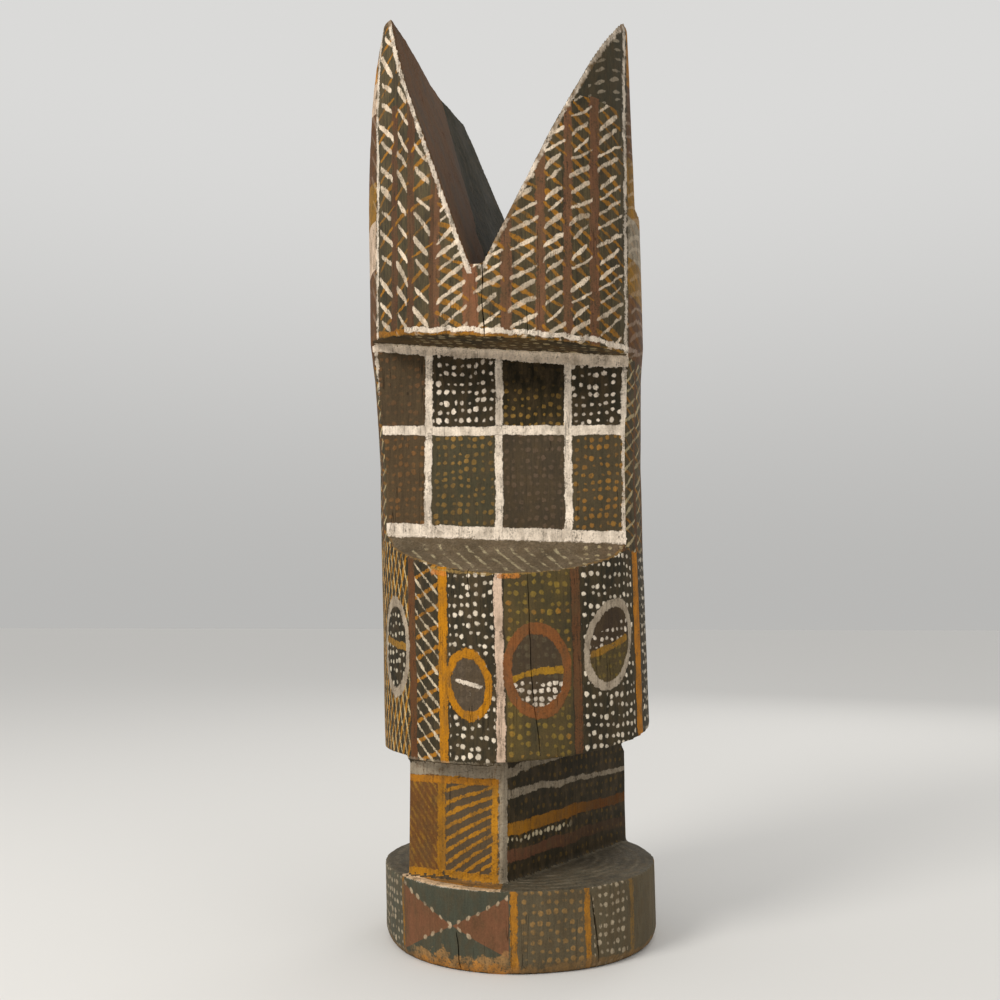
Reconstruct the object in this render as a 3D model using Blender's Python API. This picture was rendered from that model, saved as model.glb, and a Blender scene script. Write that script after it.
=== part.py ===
"""A tall spirit figure carved from one hardwood log: round foot, slab waist, round drum,
squared niche with a sloping shoulder, and a crown block with a deep notch and two prongs.

Metres, +Z up, front towards -Y, the origin on the ground under the middle of the figure's box.
"""

import math

import bmesh
import bpy
from mathutils import Matrix, Vector

MM = 0.001

# The log
TOTAL_HEIGHT = 828 * MM
LOG_SIDES = 80
LEAN = 0.0225  # how far the axis shifts to -X for each metre up
KNIFE_WAVES = ((3, 0.0060, 0.4), (5, 0.0035, 2.1), (8, 0.0020, 4.0))  # lobes, share of radius, phase

# Foot
FOOT_HALF_LENGTH = 125 * MM
FOOT_HALF_WIDTH = 122 * MM
FOOT_TURN = math.radians(-28)  # where the oval's long axis lies, from the front
FOOT_EDGE_WEAR = 4.5 * MM
FOOT_EDGE_HEIGHT = 9 * MM
FOOT_HEIGHT = 67 * MM

# Waist: a slab with one long flat face on each side and a short one at each end
WAIST_RIGHT_TURN = math.radians(61.5)
WAIST_RIGHT_FROM_AXIS = 49 * MM
WAIST_BACK_LEFT_FROM_AXIS = 33.5 * MM
WAIST_FRONT_TURN = math.radians(-12.8)
WAIST_FRONT_FROM_AXIS = 103 * MM
WAIST_BACK_TURN = math.radians(167)
WAIST_BACK_FROM_AXIS = 111 * MM
RIGHT_SLOT_HEIGHT = 115 * MM  # at the axis; its ceiling climbs along the face, away from the front
RIGHT_SLOT_CLIMB = 0.12
FRONT_SLOT_HEIGHT = 99 * MM
BACK_LEFT_SLOT_HEIGHT = 102 * MM
BACK_SLOT_HEIGHT = 110 * MM

# Drum
DRUM_RADIUS = 122 * MM
DRUM_TOP_RIM = 324 * MM  # at the middle of the front

# Niche: a flat upright panel between the drum's shoulder and the crown's underside
PANEL_FROM_AXIS = 58.4 * MM
NICHE_HALF_WIDTH = 122.5 * MM
NICHE_HALF_DEPTH = 122.5 * MM
SHOULDER_SLOPE = 0.42
SHOULDER_SIDE_SLOPE = -0.04
COVE_WIDTH = 15 * MM  # the steeper strip of the shoulder against the panel
COVE_SLOPE = 0.81
UNDERSIDE_HEIGHT = 527 * MM  # at the panel's middle
UNDERSIDE_FRONT_SLOPE = -0.08
UNDERSIDE_SIDE_SLOPE = -0.083

# Crown block and its prongs
CROWN_HALF_WIDTH = 128 * MM
CROWN_HALF_DEPTH = 122.5 * MM
CROWN_SQUARENESS = 2.5
TOP_HALF_WIDTH = 124 * MM
TOP_SQUARENESS = 2.65
NOTCH_BOTTOM = 586 * MM  # at the front of the block
NOTCH_FLOOR_CLIMB = 0.19  # each face of the notch rises towards the back
LEFT_FACE_HEIGHT = 587.5 * MM  # where the plane of each inner face crosses the axis
LEFT_FACE_SLOPE = 2.80
LEFT_FACE_CLIMB = 0.40
REAR_FACE_HEIGHT = 599 * MM
REAR_FACE_SLOPE = 2.5
REAR_FACE_CLIMB = 0.60
RIGHT_FACE_HEIGHT = 604 * MM
RIGHT_FACE_SLOPE = 2.0
RIGHT_FACE_CLIMB = 0.05
TOP_SIDE_SLOPE = 0.02
FACET_FOOT = 657 * MM  # where the long facets on the prongs' outer sides begin
RIGHT_FACET_TURN = math.radians(92)
RIGHT_FACET_FROM_AXIS = 122.5 * MM
RIGHT_FACET_LEAN = 0.035
LEFT_FACET_TURN = math.radians(-85)
LEFT_FACET_FROM_AXIS = 128.5 * MM
LEFT_FACET_LEAN = 0.10

REACH = 400 * MM  # half the size of a cutter before it is sliced


def axis_x(height):
    """X of the log's leaning axis at a height."""
    return -LEAN * height


def section_points(height, half_width, half_depth, squareness=2.0, turn=0.0):
    """One closed ring of the log: a superellipse with the knife's slow waves on it."""
    points = []
    for i in range(LOG_SIDES):
        angle = 2 * math.pi * i / LOG_SIDES
        c, s = math.cos(angle), math.sin(angle)
        x = half_width * math.copysign(abs(c) ** (2 / squareness), c)
        y = half_depth * math.copysign(abs(s) ** (2 / squareness), s)
        wave = 1 + sum(a * math.sin(n * angle + p + 9 * height) for n, a, p in KNIFE_WAVES)
        point = Matrix.Rotation(turn, 2) @ Vector((x * wave, y * wave))
        points.append(Vector((point.x + axis_x(height), point.y, height)))
    return points


def log_sections():
    """The rings from the ground to the top of the prongs."""
    long_way, short_way = FOOT_HALF_WIDTH, FOOT_HALF_LENGTH
    wear = FOOT_EDGE_WEAR
    slot_top = FOOT_HEIGHT + FRONT_SLOT_HEIGHT
    crown_bottom = UNDERSIDE_HEIGHT - 8 * MM
    niche_middle = (DRUM_TOP_RIM + UNDERSIDE_HEIGHT) / 2
    return [
        section_points(0, long_way - wear, short_way - wear, turn=FOOT_TURN),
        section_points(FOOT_EDGE_HEIGHT / 3, long_way - wear / 2, short_way - wear / 2, turn=FOOT_TURN),
        section_points(FOOT_EDGE_HEIGHT, long_way, short_way, turn=FOOT_TURN),
        section_points(slot_top - 9 * MM, long_way, short_way, turn=FOOT_TURN),
        section_points(slot_top - 1 * MM, DRUM_RADIUS, DRUM_RADIUS),
        section_points(DRUM_TOP_RIM + 20 * MM, DRUM_RADIUS, DRUM_RADIUS),
        section_points(niche_middle, NICHE_HALF_WIDTH, NICHE_HALF_DEPTH),
        section_points(crown_bottom - 12 * MM, CROWN_HALF_WIDTH - 3 * MM, CROWN_HALF_DEPTH, 2.3),
        section_points(crown_bottom + 20 * MM, CROWN_HALF_WIDTH, CROWN_HALF_DEPTH, CROWN_SQUARENESS),
        section_points(NOTCH_BOTTOM + 80 * MM, CROWN_HALF_WIDTH, CROWN_HALF_DEPTH, CROWN_SQUARENESS),
        section_points(TOTAL_HEIGHT, TOP_HALF_WIDTH, CROWN_HALF_DEPTH, TOP_SQUARENESS),
    ]


def new_object(name, mesh_builder, collection):
    """An object in the collection from a bmesh that is closed and faces out."""
    bmesh.ops.recalc_face_normals(mesh_builder, faces=mesh_builder.faces)
    mesh = bpy.data.meshes.new(name)
    mesh_builder.to_mesh(mesh)
    mesh_builder.free()
    obj = bpy.data.objects.new(name, mesh)
    collection.objects.link(obj)
    return obj


def loft_log(name, collection):
    """The uncut log, skinned over its rings."""
    builder = bmesh.new()
    rings = [[builder.verts.new(p) for p in ring] for ring in log_sections()]
    for low, high in zip(rings, rings[1:]):
        for i in range(LOG_SIDES):
            j = (i + 1) % LOG_SIDES
            builder.faces.new((low[i], low[j], high[j], high[i]))
    builder.faces.new(rings[0])
    builder.faces.new(rings[-1])
    return new_object(name, builder, collection)


def facing(turn):
    """The level direction at an angle from the front, positive towards +X."""
    return Vector((math.sin(turn), -math.cos(turn), 0))


def above(height, x_slope=0.0, front_slope=0.0, at=Vector((0, 0, 0))):
    """The half-space over a sloping floor: the floor's height at a point, and its rise to +X and -Y."""
    return Vector((at.x, at.y, height)), Vector((-x_slope, front_slope, 1))


def below(height, x_slope=0.0, front_slope=0.0, at=Vector((0, 0, 0))):
    """The half-space under a sloping ceiling."""
    point, normal = above(height, x_slope, front_slope, at)
    return point, -normal


def outside(turn, distance, height, lean=0.0):
    """The half-space beyond a plane at a distance from the log's axis, upright or leaning in."""
    direction = facing(turn)
    point = Vector((axis_x(height), 0, height)) + direction * distance
    return point, direction + Vector((0, 0, lean))


def cut(target, name, centre_height, half_spaces, collection):
    """Cuts from the target what lies in every half-space: a cube sliced by their planes."""
    builder = bmesh.new()
    middle = Matrix.Translation((0, 0, centre_height))
    bmesh.ops.create_cube(builder, size=2 * REACH, matrix=middle)
    for point, inward in half_spaces:
        geometry = builder.verts[:] + builder.edges[:] + builder.faces[:]
        sliced = bmesh.ops.bisect_plane(
            builder, geom=geometry, plane_co=point, plane_no=inward, clear_inner=True
        )
        rim = [e for e in sliced["geom_cut"] if isinstance(e, bmesh.types.BMEdge)]
        bmesh.ops.holes_fill(builder, edges=rim)
    cutter = new_object(name, builder, collection)
    cutter.hide_render = True
    cutter.display_type = "WIRE"
    boolean = target.modifiers.new(name, "BOOLEAN")
    boolean.operation = "DIFFERENCE"
    boolean.solver = "EXACT"
    boolean.object = cutter


def cut_waist(target, collection):
    """Four slots that leave a slab between the foot and the drum."""
    middle = FOOT_HEIGHT + FRONT_SLOT_HEIGHT / 2
    along = facing(WAIST_RIGHT_TURN + math.pi / 2)
    climb = dict(x_slope=RIGHT_SLOT_CLIMB * along.x, front_slope=-RIGHT_SLOT_CLIMB * along.y)
    right_slot = [
        outside(WAIST_RIGHT_TURN, WAIST_RIGHT_FROM_AXIS, middle),
        above(FOOT_HEIGHT),
        below(FOOT_HEIGHT + RIGHT_SLOT_HEIGHT, **climb),
    ]
    cut(target, "right_slot", middle, right_slot, collection)
    front_slot = [
        outside(WAIST_FRONT_TURN, WAIST_FRONT_FROM_AXIS, middle),
        above(FOOT_HEIGHT),
        below(FOOT_HEIGHT + FRONT_SLOT_HEIGHT),
    ]
    cut(target, "front_slot", middle, front_slot, collection)
    back_left_slot = [
        outside(WAIST_RIGHT_TURN + math.pi, WAIST_BACK_LEFT_FROM_AXIS, middle),
        above(FOOT_HEIGHT),
        below(FOOT_HEIGHT + BACK_LEFT_SLOT_HEIGHT),
    ]
    cut(target, "back_left_slot", middle, back_left_slot, collection)
    back_slot = [
        outside(WAIST_BACK_TURN, WAIST_BACK_FROM_AXIS, middle),
        above(FOOT_HEIGHT),
        below(FOOT_HEIGHT + BACK_SLOT_HEIGHT),
    ]
    cut(target, "back_slot", middle, back_slot, collection)


def cut_niche(target, collection):
    """The panel, its shoulder in two slopes, and the crown's underside."""
    rim = Vector((0, -DRUM_RADIUS, 0))
    panel = Vector((0, -PANEL_FROM_AXIS, 0))
    cove_run = DRUM_RADIUS - PANEL_FROM_AXIS - COVE_WIDTH
    panel_bottom = DRUM_TOP_RIM + SHOULDER_SLOPE * cove_run + COVE_SLOPE * COVE_WIDTH
    niche = [
        outside(0, PANEL_FROM_AXIS, UNDERSIDE_HEIGHT),
        above(DRUM_TOP_RIM, SHOULDER_SIDE_SLOPE, -SHOULDER_SLOPE, at=rim),
        above(panel_bottom, SHOULDER_SIDE_SLOPE, -COVE_SLOPE, at=panel),
        below(UNDERSIDE_HEIGHT, UNDERSIDE_SIDE_SLOPE, UNDERSIDE_FRONT_SLOPE, at=panel),
    ]
    cut(target, "niche", (panel_bottom + UNDERSIDE_HEIGHT) / 2, niche, collection)


def cut_notch(target, collection):
    """The notch: a narrow floor, one inner face on the right prong and two on the left."""
    front = Vector((0, -CROWN_HALF_DEPTH, 0))
    axis = Vector((axis_x(NOTCH_BOTTOM), 0, 0))
    notch = [
        above(NOTCH_BOTTOM, 0, -NOTCH_FLOOR_CLIMB, at=front),
        above(LEFT_FACE_HEIGHT, -LEFT_FACE_SLOPE, -LEFT_FACE_CLIMB, at=axis),
        above(REAR_FACE_HEIGHT, -REAR_FACE_SLOPE, -REAR_FACE_CLIMB, at=axis),
        above(RIGHT_FACE_HEIGHT, RIGHT_FACE_SLOPE, -RIGHT_FACE_CLIMB, at=axis),
    ]
    cut(target, "notch", TOTAL_HEIGHT, notch, collection)


def cut_prong_sides(target, collection):
    """A long shallow facet on each prong's outer side, and the slightly sloping top."""
    right = [
        outside(RIGHT_FACET_TURN, RIGHT_FACET_FROM_AXIS, FACET_FOOT, RIGHT_FACET_LEAN),
        above(FACET_FOOT),
    ]
    left = [
        outside(LEFT_FACET_TURN, LEFT_FACET_FROM_AXIS, FACET_FOOT, LEFT_FACET_LEAN),
        above(FACET_FOOT),
    ]
    top = [above(TOTAL_HEIGHT, TOP_SIDE_SLOPE, at=Vector((TOP_HALF_WIDTH, 0, 0)))]
    cut(target, "right_facet", TOTAL_HEIGHT, right, collection)
    cut(target, "left_facet", TOTAL_HEIGHT, left, collection)
    cut(target, "top_slope", TOTAL_HEIGHT, top, collection)


def painted_wood():
    """Dark hardwood under charcoal and ochre."""
    material = bpy.data.materials.new("painted_hardwood")
    material.use_nodes = True
    shader = material.node_tree.nodes["Principled BSDF"]
    shader.inputs["Base Color"].default_value = (0.070, 0.045, 0.030, 1)
    shader.inputs["Roughness"].default_value = 0.85
    shader.inputs["Metallic"].default_value = 0.0
    return material


def stand_on_origin(figure, everything):
    """Moves all objects so that the origin is under the middle of the carved figure's box."""
    bpy.context.view_layer.update()
    carved = figure.evaluated_get(bpy.context.evaluated_depsgraph_get())
    corners = [Vector(corner) for corner in carved.bound_box]
    for axis in (0, 1):
        values = [corner[axis] for corner in corners]
        middle = (min(values) + max(values)) / 2
        for obj in everything:
            obj.location[axis] = -middle


def main():
    for old in list(bpy.data.objects):
        bpy.data.objects.remove(old, do_unlink=True)
    figure_parts = bpy.data.collections.new("spirit_figure")
    cutters = bpy.data.collections.new("cutters")
    bpy.context.scene.collection.children.link(figure_parts)
    bpy.context.scene.collection.children.link(cutters)
    figure = loft_log("carved_figure", figure_parts)
    cut_waist(figure, cutters)
    cut_niche(figure, cutters)
    cut_notch(figure, cutters)
    cut_prong_sides(figure, cutters)
    figure.data.materials.append(painted_wood())
    stand_on_origin(figure, [*figure_parts.objects, *cutters.objects])


main()
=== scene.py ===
"""The painted surface of the carved spirit figure, a pale floor, soft light and the camera.

Lengths in the paint layout are millimetres in the frame of the solids: x to the right, y to the
back, h up. u is the arc along the round log, from the middle of its front and positive to the right.
"""

import math

import bmesh
import bpy
import numpy as np
from mathutils import Matrix, Vector, noise
from mathutils.bvhtree import BVHTree


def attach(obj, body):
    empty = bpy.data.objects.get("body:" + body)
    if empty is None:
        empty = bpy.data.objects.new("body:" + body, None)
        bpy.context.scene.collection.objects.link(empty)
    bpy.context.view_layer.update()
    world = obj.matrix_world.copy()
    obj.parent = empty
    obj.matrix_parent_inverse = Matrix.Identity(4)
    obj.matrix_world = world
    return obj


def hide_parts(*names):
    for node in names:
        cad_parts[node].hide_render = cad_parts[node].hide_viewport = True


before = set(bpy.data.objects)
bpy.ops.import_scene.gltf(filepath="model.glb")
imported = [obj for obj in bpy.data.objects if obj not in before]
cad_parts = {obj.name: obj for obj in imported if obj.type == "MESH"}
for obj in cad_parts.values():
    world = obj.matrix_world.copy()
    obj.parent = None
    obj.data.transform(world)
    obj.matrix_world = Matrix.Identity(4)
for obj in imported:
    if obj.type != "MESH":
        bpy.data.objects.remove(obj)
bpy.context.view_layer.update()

MM = 0.001
scene = bpy.context.scene

# The carved faces, from the solid's own dimensions
AXIS_X = 9.7  # the leaning log's axis at the ground
AXIS_Y = -0.3
LEAN = 0.0225
LOG_RADIUS = 122.0
PANEL_Y = -58.7
FOOT_TOP = 67.0
WAIST_TOP = 167.0
CROWN_FOOT = 517.0
DRUM_TOP = 324.0  # at its front
DRUM_FRONT = -122.3
SHOULDER_RISE = 0.42
SHOULDER_TILT = 0.04
NICHE_CEILING = 527.0
NICHE_TILT = 0.083
NOTCH_X = -3.5
# Each side of the notch: its fall to the right and to the back, its height at NOTCH_X, its normal's length
NOTCH_LEFT = (2.8, -0.40, 587.5, 3.0)
NOTCH_RIGHT = (-2.0, -0.05, 604.0, 2.237)
WAIST_RIGHT_TURN = math.radians(61.5)
WAIST_FRONT_TURN = math.radians(-12.8)
WAIST_BACK_TURN = math.radians(167)

# Earth pigments as they look on the wood, in 0-255 steps
CLAY = (236, 220, 200)
PINK_CLAY = (205, 180, 156)
GREY_CLAY = (150, 137, 117)
CREAM = (190, 172, 132)
OCHRE = (178, 117, 18)
DULL_OCHRE = (146, 106, 38)
ORANGE = (200, 124, 52)
RED = (124, 82, 56)
DARK_RED = (96, 64, 42)
CHARCOAL = (44, 40, 29)
OLIVE = (82, 70, 42)
BROWN = (76, 62, 42)
SLATE = (78, 77, 63)
PALE_GREY = (166, 151, 131)
DUST = (84, 68, 46)


# Shape


def turned(turn):
    """The level direction at an angle from the front, positive to the right."""
    return np.array((math.sin(turn), -math.cos(turn), 0.0))


def plane(normal, point):
    """A plane as its unit normal and its offset, for points in mm."""
    normal = np.array(normal, float)
    normal /= np.linalg.norm(normal)
    return normal, float(normal @ np.array(point, float))


def waist_plane(turn, distance):
    """An upright face of the waist at a distance from the log's axis."""
    middle = np.array((AXIS_X - LEAN * 117, AXIS_Y, 117.0))
    return plane(turned(turn), middle + turned(turn) * distance)


# name, plane, lowest and highest point
FACES = [
    ("panel", plane((0, -1, 0), (0, PANEL_Y, 0)), 345, 545),
    ("shoulder", plane((SHOULDER_TILT, -SHOULDER_RISE, 1), (AXIS_X, DRUM_FRONT, DRUM_TOP)), 300, 356),
    ("shoulder", plane((SHOULDER_TILT, -0.81, 1), (AXIS_X, PANEL_Y, 356.6)), 335, 372),
    ("underside", plane((-NICHE_TILT, 0.08, -1), (AXIS_X, PANEL_Y, NICHE_CEILING)), 505, 545),
    ("notch_red", plane((*NOTCH_LEFT[:2], 1), (NOTCH_X, 0, NOTCH_LEFT[2])), 570, 830),
    ("notch_dark", plane((2.5, -0.60, 1), (NOTCH_X, 0, 599)), 570, 830),
    ("notch_dark", plane((*NOTCH_RIGHT[:2], 1), (NOTCH_X, 0, NOTCH_RIGHT[2])), 570, 830),
    ("notch_dark", plane((0, -0.19, 1), (0, -122.5, 586)), 570, 660),
    ("prong_top", plane((-0.02, 0, 1), (124, 0, 828)), 815, 830),
    ("waist_right", waist_plane(WAIST_RIGHT_TURN, 49), 60, 215),
    ("waist_front", waist_plane(WAIST_FRONT_TURN, 103), 60, 185),
    ("waist_back", waist_plane(WAIST_RIGHT_TURN + math.pi, 33.5), 60, 185),
    ("waist_back", waist_plane(WAIST_BACK_TURN, 111), 60, 195),
    ("foot_top", plane((0, 0, 1), (0, 0, FOOT_TOP)), 55, 75),
    ("ceiling", plane((0.0572, 0.1055, -1), (AXIS_X, AXIS_Y, 182)), 150, 215),
    ("ceiling", plane((0, 0, -1), (0, 0, 166)), 155, 172),
    ("ceiling", plane((0, 0, -1), (0, 0, 169)), 155, 175),
    ("ceiling", plane((0, 0, -1), (0, 0, 177)), 165, 185),
    ("foot_bottom", plane((0, 0, -1), (0, 0, 0)), -5, 6),
]

# Drying cracks: height and turn in degrees along each, then its width and depth
CRACKS = [
    ([(512, -2.5), (556, -3.0), (575, -2.6), (604, -2.8)], 1.1, 13),
    ([(514, 14.0), (530, 14.4), (549, 14.2)], 1.0, 8),
    ([(155, 15.8), (190, 15.4), (214, 13.8), (240, 12.9), (300, 12.4), (333, 12.2)], 0.9, 12),
    ([(305, -11.0), (318, -11.6), (333, -11.4)], 0.8, 8),
    ([(-4, -17.6), (12, -17.4), (33, -18.4)], 1.6, 10),
    ([(2, 38.2), (20, 37.4), (42, 36.4), (63, 34.8)], 2.0, 12),
    ([(228, 47.0), (240, 47.6), (252, 47.2)], 0.9, 6),
    ([(288, 47.0), (296, 46.6), (306, 47.3)], 0.9, 6),
    ([(350, 168), (430, 165), (520, 167), (640, 164)], 2.2, 18),
    ([(-4, 203), (60, 204), (64, 204)], 1.8, 14),
    ([(196, 205), (260, 203), (372, 206)], 1.6, 14),
    ([(560, 121), (640, 119), (760, 122)], 1.4, 11),
    ([(190, -112), (280, -114), (410, -111)], 1.5, 12),
    ([(600, -128), (690, -126), (790, -129)], 1.3, 10),
]

VOXEL = 2.0 * MM
SMOOTHING = 5  # rounds of smoothing, each followed by a swelling that keeps the size
TIP_ROUNDS = 5  # more rounds of smoothing for the tips of the prongs
TIP_HEIGHT = 806 * MM
BEND_FOOT = 745.0  # the left prong bends in above this height
BEND_RUN = 83.0
BEND = 6.5
BEND_BACK = 20.0  # only in front of here, in full from BEND_DEPTH further forward
BEND_DEPTH = 80.0
KEPT_TRIANGLES = 0.36  # share kept once the arrises are smooth
ARRIS_SHIFT = 0.35  # mm that the smoothing moves a point on an arris
KNOCK_DEPTH = 0.9
KNIFE_DEPTH = 0.38
RIPPLE_DEPTH = 0.14
CRACK_STEP = 4  # mm between the rings of a crack's blade, and what it stands proud of the log
SHARP_ANGLE = math.radians(50)


def new_object(name, builder):
    """What was built, as a new object in the scene."""
    mesh = bpy.data.meshes.new(name)
    builder.to_mesh(mesh)
    builder.free()
    piece = bpy.data.objects.new(name, mesh)
    scene.collection.objects.link(piece)
    return piece


def welded_copy(source, name):
    """A copy of a solid's mesh with its corners joined, as a new object."""
    builder = bmesh.new()
    builder.from_mesh(source.data)
    bmesh.ops.remove_doubles(builder, verts=builder.verts, dist=0.01 * MM)
    piece = new_object(name, builder)
    piece.data.materials.clear()
    return piece


def bake_modifiers(piece):
    """Replaces the piece's mesh with what its modifiers make of it."""
    bpy.context.view_layer.update()
    evaluated = piece.evaluated_get(bpy.context.evaluated_depsgraph_get())
    mesh = bpy.data.meshes.new_from_object(evaluated)
    old = piece.data
    piece.modifiers.clear()
    piece.data = mesh
    bpy.data.meshes.remove(old)


def rows(items, key, width=3):
    """One property of all items of a mesh, a row for each."""
    flat = np.empty(len(items) * width)
    items.foreach_get(key, flat)
    return flat.reshape(-1, width)


def positions(mesh):
    """The vertices in metres."""
    return rows(mesh.vertices, "co")


def wave(points, scale, shift=0.0):
    """Smooth noise between about -1 and 1 at points in mm; scale is its size in mm on each axis."""
    scaled = points / np.array(scale, float) + shift
    return np.array([noise.noise(Vector(p)) for p in scaled]) * 1.6


def wear_down(piece):
    """Rounds the arrises, knocks them back in places and leaves the knife's shallow marks."""
    piece.modifiers.new("Remesh", "REMESH").voxel_size = VOXEL
    bake_modifiers(piece)
    sharp = positions(piece.data)
    for _ in range(SMOOTHING):
        for factor in (0.5, -0.53):
            smooth = piece.modifiers.new("Smooth", "SMOOTH")
            smooth.factor = factor
            smooth.iterations = 1
    bake_modifiers(piece)
    tips = piece.vertex_groups.new(name="tips")
    high = np.flatnonzero(positions(piece.data)[:, 2] > TIP_HEIGHT)
    tips.add([int(k) for k in high], 1, "REPLACE")
    smooth = piece.modifiers.new("Tips", "SMOOTH")
    smooth.factor = 0.5
    smooth.iterations = TIP_ROUNDS
    smooth.vertex_group = "tips"
    bake_modifiers(piece)
    piece.vertex_groups.clear()
    moved = np.linalg.norm(positions(piece.data) - sharp, axis=1)
    mark = piece.data.attributes.new("arris", "FLOAT", "POINT")
    mark.data.foreach_set("value", moved / MM)
    piece.modifiers.new("Decimate", "DECIMATE").ratio = KEPT_TRIANGLES
    bake_modifiers(piece)
    points = positions(piece.data)
    outward = rows(piece.data.vertex_normals, "vector")
    shift = rows(piece.data.attributes["arris"].data, "value", 1)[:, 0]
    arris = np.clip(shift / ARRIS_SHIFT - 0.2, 0, 1)
    mm = points / MM
    knocks = np.clip(wave(mm, (17, 17, 23), 5.3) * 2.2 - 0.5, 0, 1) * arris * KNOCK_DEPTH
    knife = wave(mm, (30, 30, 85), 1.7) * KNIFE_DEPTH + wave(mm, (9, 9, 30), 8.1) * RIPPLE_DEPTH
    depth = knife - knocks
    depth[mm[:, 2] < 1.5] = 0
    points += outward * (depth * MM)[:, None]
    bend = np.clip((mm[:, 2] - BEND_FOOT) / BEND_RUN, 0, 1) ** 2 * (mm[:, 0] < -40)
    bend *= np.clip((BEND_BACK - mm[:, 1]) / BEND_DEPTH, 0, 1)
    points[:, 0] += bend * BEND * MM
    points[:, 2] = np.maximum(points[:, 2], 0)
    piece.data.vertices.foreach_set("co", points.ravel())
    piece.data.update()


def crack_blade(tree, path, width, depth, seed):
    """A thin wedge along a path on the log, tapering out at both ends."""
    heights = [p[0] for p in path]
    turns = [p[1] for p in path]
    steps = max(8, int((heights[-1] - heights[0]) / CRACK_STEP))
    builder = bmesh.new()
    rings = []
    for i in range(steps + 1):
        share = i / steps
        height = heights[0] + share * (heights[-1] - heights[0])
        stray = 0.35 * noise.noise(Vector((seed, height / 14, 0.5)))
        turn = math.radians(float(np.interp(height, heights, turns)) + stray)
        out = Vector(turned(turn))
        across = Vector(turned(turn + math.pi / 2))
        axis = Vector((AXIS_X - LEAN * height, AXIS_Y, height)) * MM
        hit = tree.ray_cast(axis + out * 0.25, -out)[0]
        reach = (hit - axis).dot(out) if hit else LOG_RADIUS * MM
        taper = min(1, 5 * share + 0.12, 5 * (1 - share) + 0.12)
        half = width / 2 * MM * taper * (0.8 + 0.5 * noise.noise(Vector((seed, height / 9, 4.5))))
        flare = half * (1 + CRACK_STEP / depth)
        proud = axis + out * (reach + CRACK_STEP * MM)
        rings.append([
            builder.verts.new(proud - across * flare),
            builder.verts.new(proud + across * flare),
            builder.verts.new(axis + out * (reach - depth * MM * (0.4 + 0.6 * taper))),
        ])
    for low, high in zip(rings, rings[1:]):
        for a, b in ((0, 1), (1, 2), (2, 0)):
            builder.faces.new((low[a], low[b], high[b], high[a]))
    builder.faces.new(rings[0])
    builder.faces.new(rings[-1])
    bmesh.ops.recalc_face_normals(builder, faces=builder.faces)
    return new_object("crack", builder)


def open_cracks(piece):
    """Cuts the drying cracks into the log."""
    builder = bmesh.new()
    builder.from_mesh(piece.data)
    tree = BVHTree.FromBMesh(builder)
    builder.free()
    blades = []
    for seed, (path, width, depth) in enumerate(CRACKS):
        blade = crack_blade(tree, path, width, depth, seed * 7.3)
        boolean = piece.modifiers.new("Crack", "BOOLEAN")
        boolean.operation = "DIFFERENCE"
        boolean.solver = "MANIFOLD"
        boolean.object = blade
        blades.append(blade)
    bake_modifiers(piece)
    for blade in blades:
        mesh = blade.data
        bpy.data.objects.remove(blade)
        bpy.data.meshes.remove(mesh)


def outer_zones(x, y, h, order):
    """The painted zones of points on the round log."""
    slope = SHOULDER_RISE * np.clip(y - DRUM_FRONT, 0, PANEL_Y - DRUM_FRONT)
    rim = DRUM_TOP - SHOULDER_TILT * (x - AXIS_X) + slope
    below = [h < FOOT_TOP, h < WAIST_TOP, h < rim, h < CROWN_FOOT]
    names = ("foot", "waist_side", "drum", "post")
    return np.select(below, [order.index(name) for name in names], order.index("crown"))


def assign_zones(piece, order):
    """Gives each face the material of the carved face, or zone of the log, that it fits best."""
    mesh = piece.data
    centres = rows(mesh.polygons, "center") / MM
    facings = rows(mesh.polygons, "normal")
    x, y, h = centres.T
    across = x - (AXIS_X - LEAN * h)
    ahead = y - AXIS_Y
    radius = np.hypot(across, ahead)
    best = (facings[:, 0] * across + facings[:, 1] * ahead) / radius - np.clip(108 - radius, 0, 99) / 8
    zone = outer_zones(x, y, h, order)
    for name, (normal, offset), low, high in FACES:
        away = np.abs(centres @ normal - offset)
        score = facings @ normal - away / 8
        found = (h > low) & (h < high) & (away < 8) & (score > best)
        zone[found] = order.index(name)
        best[found] = score[found]
    mesh.polygons.foreach_set("material_index", zone.astype(np.int32))
    mesh.polygons.foreach_set("use_smooth", np.ones(len(zone), bool))
    mesh.set_sharp_from_angle(angle=SHARP_ANGLE)


# Paint


def linear(colour):
    """A colour in 0-255 steps as the shader's numbers."""
    shares = [c / 255 for c in colour]
    return [s / 12.92 if s <= 0.04045 else ((s + 0.055) / 1.055) ** 2.4 for s in shares] + [1]


def join(tree, value, slot):
    """Joins a field or a socket to a slot, or sets the slot to a plain value."""
    if isinstance(value, Field):
        value = value.socket
    if isinstance(value, bpy.types.NodeSocket):
        tree.links.new(value, slot)
    else:
        slot.default_value = value


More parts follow.
